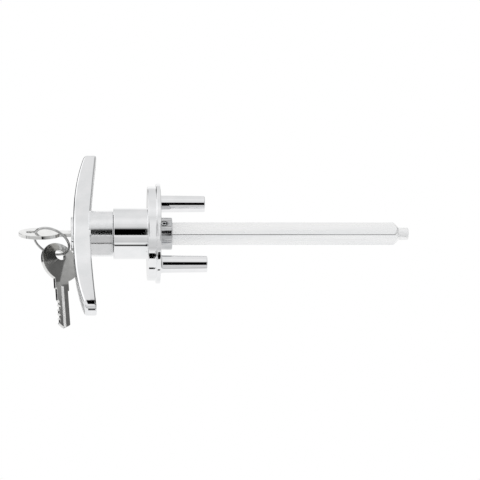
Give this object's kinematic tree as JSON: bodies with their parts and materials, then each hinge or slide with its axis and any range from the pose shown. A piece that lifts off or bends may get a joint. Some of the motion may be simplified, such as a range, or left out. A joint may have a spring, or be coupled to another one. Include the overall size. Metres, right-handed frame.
{
  "type": "garage door t-handle",
  "caption": "Locking T-handle for a garage door: hollow-backed chrome pull bar on a round rose with rear posts, square spindle, keyed lock and keys on a ring.",
  "frame": {"origin": "centre of the rose's rear face, on the spindle's axis, where the handle lies on the door's outer face", "axes": "+X along the spindle, through the door and away from the T-bar; +Z along the T-bar in its rest place, upwards; +Y to the right seen from behind the door"},
  "size_m": [0.1888, 0.0482, 0.097],
  "materials": {
    "chrome_casting": "polished chrome plate on die-cast zinc",
    "galvanised_steel": "dull zinc plate with fine drawn streaks",
    "nickel_plate": "polished nickel plate",
    "ring_steel": "bright nickel-plated wire",
    "plated_brass": "nickel-plated brass",
    "wafer_brass": "stamped brass",
    "plain_steel": "plain hardened steel"
  },
  "bodies": {
    "base": {"rose_base": "chrome_casting"},
    "handle": {"t_handle": "chrome_casting", "cylinder_shell": "chrome_casting", "cylinder_pin": "plain_steel", "spindle": "galvanised_steel", "spindle_pin": "plain_steel", "retaining_ring": "plain_steel", "spring_washer": "plain_steel"},
    "plug": {"lock_plug": "plated_brass", "plug_clip": "plain_steel", "wafer_spring_1": "plain_steel", "wafer_spring_2": "plain_steel", "wafer_spring_3": "plain_steel", "wafer_spring_4": "plain_steel", "wafer_spring_5": "plain_steel"},
    "wafer_body_1": {"wafer_1": "wafer_brass"},
    "wafer_body_2": {"wafer_2": "wafer_brass"},
    "wafer_body_3": {"wafer_3": "wafer_brass"},
    "wafer_body_4": {"wafer_4": "wafer_brass"},
    "wafer_body_5": {"wafer_5": "wafer_brass"},
    "bolt": {"locking_bolt": "plain_steel"},
    "lock_key": {"key_in_lock": "nickel_plate"},
    "ring": {"key_ring": "ring_steel"},
    "hanging_key": {"spare_key": "nickel_plate"}
  },
  "joints": [
    {"name": "handle_turn", "type": "hinge", "parent": "base", "child": "handle", "pos_m": [0, 0, 0], "axis": [1, 0, 0], "range_deg": [0, 90]},
    {"name": "plug_turn", "type": "hinge", "parent": "handle", "child": "plug", "pos_m": [-0.0429, 0, 0], "axis": [1, 0, 0], "range_deg": [0, 38]},
    {"name": "bolt_slide", "type": "slide", "parent": "handle", "child": "bolt", "axis": [0, 1, 0], "range_m": [0, 0.0014]},
    {"name": "wafer_lift_1", "type": "slide", "parent": "plug", "child": "wafer_body_1", "axis": [0, 0.6157, 0.788], "range_m": [0, 0.0006], "stiffness_N_per_m": 20, "deforming": ["wafer_spring_1"]},
    {"name": "wafer_lift_2", "type": "slide", "parent": "plug", "child": "wafer_body_2", "axis": [0, 0.6157, 0.788], "range_m": [0, 0.0006], "stiffness_N_per_m": 20, "deforming": ["wafer_spring_2"]},
    {"name": "wafer_lift_3", "type": "slide", "parent": "plug", "child": "wafer_body_3", "axis": [0, 0.6157, 0.788], "range_m": [0, 0.0006], "stiffness_N_per_m": 20, "deforming": ["wafer_spring_3"]},
    {"name": "wafer_lift_4", "type": "slide", "parent": "plug", "child": "wafer_body_4", "axis": [0, 0.6157, 0.788], "range_m": [0, 0.0006], "stiffness_N_per_m": 20, "deforming": ["wafer_spring_4"]},
    {"name": "wafer_lift_5", "type": "slide", "parent": "plug", "child": "wafer_body_5", "axis": [0, 0.6157, 0.788], "range_m": [0, 0.0006], "stiffness_N_per_m": 20, "deforming": ["wafer_spring_5"]},
    {"name": "key_draw", "type": "slide", "parent": "plug", "child": "lock_key", "axis": [-1, 0, 0], "range_m": [0, 0.0225]},
    {"name": "ring_swing", "type": "hinge", "parent": "lock_key", "child": "ring", "pos_m": [-0.06035, 0.00046, 0.00059], "axis": [0.246, -0.9635, 0.106], "range_deg": [-45, 0]},
    {"name": "spare_key_swing", "type": "hinge", "parent": "ring", "child": "hanging_key", "pos_m": [-0.0487, 0.01088, -0.00411], "axis": [-0.8486, 0.4285, 0.3102], "range_deg": [-20, 50]}
  ],
  "couplings": [
    {"joint": "bolt_slide", "follows": "plug_turn", "m_per_rad": 0.0021109}
  ]
}
